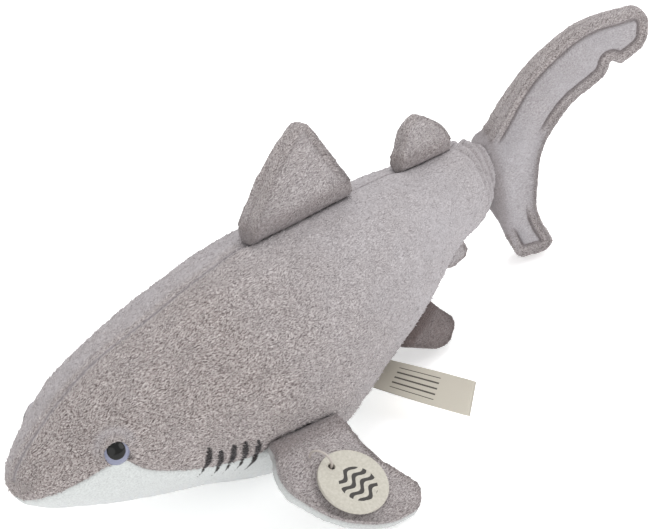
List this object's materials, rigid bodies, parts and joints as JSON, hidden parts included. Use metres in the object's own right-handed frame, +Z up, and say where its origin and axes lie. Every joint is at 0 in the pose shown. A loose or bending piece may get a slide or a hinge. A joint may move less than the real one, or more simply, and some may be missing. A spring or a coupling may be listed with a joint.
{
  "type": "plush shark",
  "caption": "Stuffed toy shark lying on its belly: sewn plush body with soft fins and tail that bend at their seams, safety eyes, a round hang tag and a sewn label.",
  "frame": {"origin": "centre of the flat patch of belly that rests on the table", "axes": "+X from nose to tail, +Y to the shark's right side, +Z up"},
  "size_m": [0.3632, 0.1888, 0.1305],
  "materials": {
    "grey_plush": "short-pile plush, warm mottled grey",
    "white_plush": "short-pile plush, white",
    "filling": "polyester fibre filling",
    "eye_plastic": "polished, with a lilac-grey ring",
    "washer_plastic": "as moulded",
    "tag_board": null,
    "thread": "twisted thread",
    "label_tape": "woven cotton tape"
  },
  "bodies": {
    "body": {"belly_panel": "white_plush", "back_panel_left": "grey_plush", "back_panel_right": "grey_plush", "body_stuffing": "filling", "eye_left": "eye_plastic", "eye_right": "eye_plastic", "eye_washer_left": "washer_plastic", "eye_washer_right": "washer_plastic"},
    "dorsal_fin": {"dorsal_panel_left": "grey_plush", "dorsal_panel_right": "grey_plush", "dorsal_stuffing": "filling"},
    "rear_dorsal_fin": {"rear_dorsal_panel_left": "grey_plush", "rear_dorsal_panel_right": "grey_plush", "rear_dorsal_stuffing": "filling"},
    "tail_fin": {"tail_panel_left": "grey_plush", "tail_panel_right": "grey_plush", "tail_stuffing": "filling"},
    "anal_fin": {"anal_panel_left": "grey_plush", "anal_panel_right": "grey_plush", "anal_stuffing": "filling"},
    "pectoral_fin_left": {"pectoral_left_top": "grey_plush", "pectoral_left_under": "white_plush", "pectoral_left_stuffing": "filling", "tag_loop": "thread"},
    "pectoral_fin_right": {"pectoral_right_top": "grey_plush", "pectoral_right_under": "white_plush", "pectoral_right_stuffing": "filling"},
    "pelvic_fin_left": {"pelvic_left_top": "grey_plush", "pelvic_left_under": "grey_plush", "pelvic_left_stuffing": "filling"},
    "pelvic_fin_right": {"pelvic_right_top": "grey_plush", "pelvic_right_under": "grey_plush", "pelvic_right_stuffing": "filling"},
    "swing_tag": {"swing_tag": "tag_board"},
    "side_label": {"side_label": "label_tape"}
  },
  "joints": [
    {"name": "tail_swing", "type": "hinge", "parent": "body", "child": "tail_fin", "pos_m": [0.164, 0, 0.03848], "axis": [0, 0, 1], "range_deg": [-20, 80], "stiffness_Nm_per_rad": 0.06},
    {"name": "dorsal_tilt", "type": "hinge", "parent": "body", "child": "dorsal_fin", "pos_m": [0.0115, 0, 0.10077], "axis": [0.9915, 0, -0.1298], "range_deg": [-32, 32], "stiffness_Nm_per_rad": 0.03},
    {"name": "rear_dorsal_tilt", "type": "hinge", "parent": "body", "child": "rear_dorsal_fin", "pos_m": [0.104, 0, 0.08474], "axis": [0.9852, 0, -0.1713], "range_deg": [-30, 30], "stiffness_Nm_per_rad": 0.015},
    {"name": "anal_tilt", "type": "hinge", "parent": "body", "child": "anal_fin", "pos_m": [0.112, 0, 0.02691], "axis": [0.9921, 0, 0.1258], "range_deg": [-25, 25], "stiffness_Nm_per_rad": 0.01},
    {"name": "pectoral_lift_left", "type": "hinge", "parent": "body", "child": "pectoral_fin_left", "pos_m": [-0.0385, -0.04655, 0.03383], "axis": [-0.9805, 0.1081, 0.1639], "range_deg": [0, 45], "stiffness_Nm_per_rad": 0.03},
    {"name": "pectoral_lift_right", "type": "hinge", "parent": "body", "child": "pectoral_fin_right", "pos_m": [-0.0385, 0.04655, 0.03383], "axis": [0.9805, 0.1081, -0.1639], "range_deg": [0, 45], "stiffness_Nm_per_rad": 0.03},
    {"name": "pelvic_lift_left", "type": "hinge", "parent": "body", "child": "pelvic_fin_left", "pos_m": [0.067, -0.01896, 0.01548], "axis": [-0.953, -0.117, -0.2794], "range_deg": [0, 25], "stiffness_Nm_per_rad": 0.01},
    {"name": "pelvic_lift_right", "type": "hinge", "parent": "body", "child": "pelvic_fin_right", "pos_m": [0.067, 0.01896, 0.01548], "axis": [0.953, -0.117, 0.2794], "range_deg": [0, 25], "stiffness_Nm_per_rad": 0.01},
    {"name": "tag_lift", "type": "hinge", "parent": "pectoral_fin_left", "child": "swing_tag", "pos_m": [-0.02899, -0.06281, 0.03127], "axis": [-0.9726, -0.2266, -0.0527], "range_deg": [0, 80]},
    {"name": "label_bend", "type": "hinge", "parent": "body", "child": "side_label", "pos_m": [0.0405, -0.02364, 0.0127], "axis": [-0.96, -0.1116, -0.2567], "range_deg": [0, 9], "stiffness_Nm_per_rad": 0.002}
  ]
}
